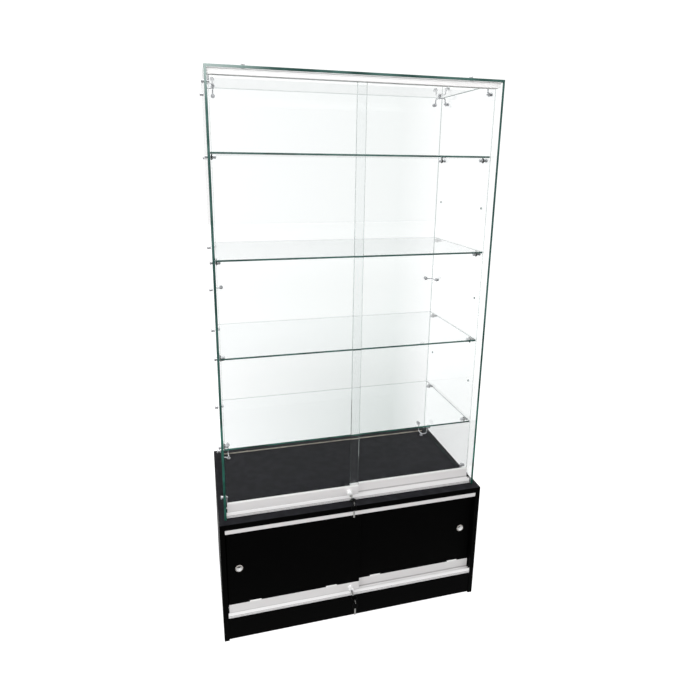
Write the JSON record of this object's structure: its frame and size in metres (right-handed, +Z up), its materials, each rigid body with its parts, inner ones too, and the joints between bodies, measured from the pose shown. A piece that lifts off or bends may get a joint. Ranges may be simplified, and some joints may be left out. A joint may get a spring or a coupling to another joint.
{
  "type": "display case",
  "caption": "Upright glass display case with bolted glass panels, glass shelves and lockable sliding glass doors, on a black storage base with sliding board doors.",
  "frame": {"origin": "floor level, mid-width, and the middle of the overall depth with the keys in the locks", "axes": "+X to the right of someone facing the doors, +Y to the back, +Z up"},
  "size_m": [1, 0.5921, 1.9872],
  "materials": {
    "black_board": "satin black melamine-faced board",
    "clear_glass": "clear toughened glass with ground edges",
    "anodised_aluminium": "satin anodised extrusion",
    "chrome": "bright chrome plate",
    "steel": "plain steel",
    "grey_plastic": "pale grey plastic",
    "white_nylon": "white nylon",
    "black_plastic": "black plastic key bows"
  },
  "bodies": {
    "case": {"base_deck": "black_board", "base_side_left": "black_board", "base_side_right": "black_board", "base_bottom": "black_board", "base_back": "black_board", "kickboard": "black_board", "base_top_track": "anodised_aluminium", "base_bottom_track": "anodised_aluminium", "case_top_track": "anodised_aluminium", "case_bottom_track": "anodised_aluminium", "track_guides": "grey_plastic", "glass_side_left": "clear_glass", "glass_side_right": "clear_glass", "glass_back": "clear_glass", "glass_top": "clear_glass", "glass_shelf_1": "clear_glass", "glass_shelf_2": "clear_glass", "glass_shelf_3": "clear_glass", "glass_shelf_4": "clear_glass", "shelf_studs": "chrome", "connector_rods": "chrome", "glass_bolts": "chrome"},
    "upper_left_door": {"upper_left_rail": "anodised_aluminium", "upper_left_carriers": "grey_plastic", "upper_left_glass": "clear_glass", "upper_left_strip": "grey_plastic", "upper_lock_housing": "chrome"},
    "upper_left_roller_a": {"upper_left_roller_a": "white_nylon"},
    "upper_left_roller_b": {"upper_left_roller_b": "white_nylon"},
    "upper_right_door": {"upper_right_rail": "anodised_aluminium", "upper_right_carriers": "grey_plastic", "upper_right_glass": "clear_glass", "upper_right_strip": "grey_plastic"},
    "upper_right_roller_a": {"upper_right_roller_a": "white_nylon"},
    "upper_right_roller_b": {"upper_right_roller_b": "white_nylon"},
    "lower_left_door": {"lower_left_rail": "anodised_aluminium", "lower_left_carriers": "grey_plastic", "lower_left_panel": "black_board", "lower_left_clips": "grey_plastic", "lower_left_pull": "chrome", "lower_lock_housing": "chrome"},
    "lower_left_roller_a": {"lower_left_roller_a": "white_nylon"},
    "lower_left_roller_b": {"lower_left_roller_b": "white_nylon"},
    "lower_right_door": {"lower_right_rail": "anodised_aluminium", "lower_right_carriers": "grey_plastic", "lower_right_panel": "black_board", "lower_right_clips": "grey_plastic", "lower_right_pull": "chrome"},
    "lower_right_roller_a": {"lower_right_roller_a": "white_nylon"},
    "lower_right_roller_b": {"lower_right_roller_b": "white_nylon"},
    "upper_plunger": {"upper_lock_plunger": "chrome"},
    "upper_turning_key": {"upper_lock_core": "steel", "upper_key": "black_plastic"},
    "upper_hanging_key": {"upper_key_ring": "steel", "upper_spare_key": "black_plastic"},
    "lower_plunger": {"lower_lock_plunger": "chrome"},
    "lower_turning_key": {"lower_lock_core": "steel", "lower_key": "black_plastic"},
    "lower_hanging_key": {"lower_key_ring": "steel", "lower_spare_key": "black_plastic"}
  },
  "joints": [
    {"name": "upper_left_door_slide", "type": "slide", "parent": "case", "child": "upper_left_door", "axis": [1, 0, 0], "range_m": [0, 0.45]},
    {"name": "upper_left_roller_a_spin", "type": "hinge", "parent": "upper_left_door", "child": "upper_left_roller_a", "pos_m": [-0.408, -0.1765, 0.5003], "axis": [0, 1, 0], "continuous": true},
    {"name": "upper_left_roller_b_spin", "type": "hinge", "parent": "upper_left_door", "child": "upper_left_roller_b", "pos_m": [-0.046, -0.1765, 0.5003], "axis": [0, 1, 0], "continuous": true},
    {"name": "upper_right_door_slide", "type": "slide", "parent": "case", "child": "upper_right_door", "axis": [-1, 0, 0], "range_m": [0, 0.45]},
    {"name": "upper_right_roller_a_spin", "type": "hinge", "parent": "upper_right_door", "child": "upper_right_roller_a", "pos_m": [0.046, -0.1615, 0.5003], "axis": [0, 1, 0], "continuous": true},
    {"name": "upper_right_roller_b_spin", "type": "hinge", "parent": "upper_right_door", "child": "upper_right_roller_b", "pos_m": [0.408, -0.1615, 0.5003], "axis": [0, 1, 0], "continuous": true},
    {"name": "lower_left_door_slide", "type": "slide", "parent": "case", "child": "lower_left_door", "axis": [1, 0, 0], "range_m": [0, 0.46]},
    {"name": "lower_left_roller_a_spin", "type": "hinge", "parent": "lower_left_door", "child": "lower_left_roller_a", "pos_m": [-0.418, -0.2145, 0.1093], "axis": [0, 1, 0], "continuous": true},
    {"name": "lower_left_roller_b_spin", "type": "hinge", "parent": "lower_left_door", "child": "lower_left_roller_b", "pos_m": [-0.046, -0.2145, 0.1093], "axis": [0, 1, 0], "continuous": true},
    {"name": "lower_right_door_slide", "type": "slide", "parent": "case", "child": "lower_right_door", "axis": [-1, 0, 0], "range_m": [0, 0.46]},
    {"name": "lower_right_roller_a_spin", "type": "hinge", "parent": "lower_right_door", "child": "lower_right_roller_a", "pos_m": [0.046, -0.1995, 0.1093], "axis": [0, 1, 0], "continuous": true},
    {"name": "lower_right_roller_b_spin", "type": "hinge", "parent": "lower_right_door", "child": "lower_right_roller_b", "pos_m": [0.418, -0.1995, 0.1093], "axis": [0, 1, 0], "continuous": true},
    {"name": "upper_lock_push", "type": "slide", "parent": "upper_left_door", "child": "upper_plunger", "axis": [0, -1, 0], "range_m": [-0.009, 0], "stiffness_N_per_m": 300},
    {"name": "upper_key_turn", "type": "hinge", "parent": "upper_plunger", "child": "upper_turning_key", "pos_m": [-0.022, -0.1765, 0.5235], "axis": [0, 1, 0], "range_deg": [0, 40]},
    {"name": "upper_spare_key_swing", "type": "hinge", "parent": "upper_plunger", "child": "upper_hanging_key", "pos_m": [-0.022, -0.1765, 0.5235], "axis": [0, 1, 0], "range_deg": [-20, 20]},
    {"name": "lower_lock_push", "type": "slide", "parent": "lower_left_door", "child": "lower_plunger", "axis": [0, -1, 0], "range_m": [-0.009, 0], "stiffness_N_per_m": 300},
    {"name": "lower_key_turn", "type": "hinge", "parent": "lower_plunger", "child": "lower_turning_key", "pos_m": [-0.022, -0.2145, 0.1325], "axis": [0, 1, 0], "range_deg": [0, 40]},
    {"name": "lower_spare_key_swing", "type": "hinge", "parent": "lower_plunger", "child": "lower_hanging_key", "pos_m": [-0.022, -0.2145, 0.1325], "axis": [0, 1, 0], "range_deg": [-20, 20]}
  ],
  "couplings": [
    {"joint": "upper_left_roller_a_spin", "follows": "upper_left_door_slide", "rad_per_m": 166.67},
    {"joint": "upper_left_roller_b_spin", "follows": "upper_left_door_slide", "rad_per_m": 166.67},
    {"joint": "upper_right_roller_a_spin", "follows": "upper_right_door_slide", "rad_per_m": -166.67},
    {"joint": "upper_right_roller_b_spin", "follows": "upper_right_door_slide", "rad_per_m": -166.67},
    {"joint": "lower_left_roller_a_spin", "follows": "lower_left_door_slide", "rad_per_m": 166.67},
    {"joint": "lower_left_roller_b_spin", "follows": "lower_left_door_slide", "rad_per_m": 166.67},
    {"joint": "lower_right_roller_a_spin", "follows": "lower_right_door_slide", "rad_per_m": -166.67},
    {"joint": "lower_right_roller_b_spin", "follows": "lower_right_door_slide", "rad_per_m": -166.67}
  ]
}
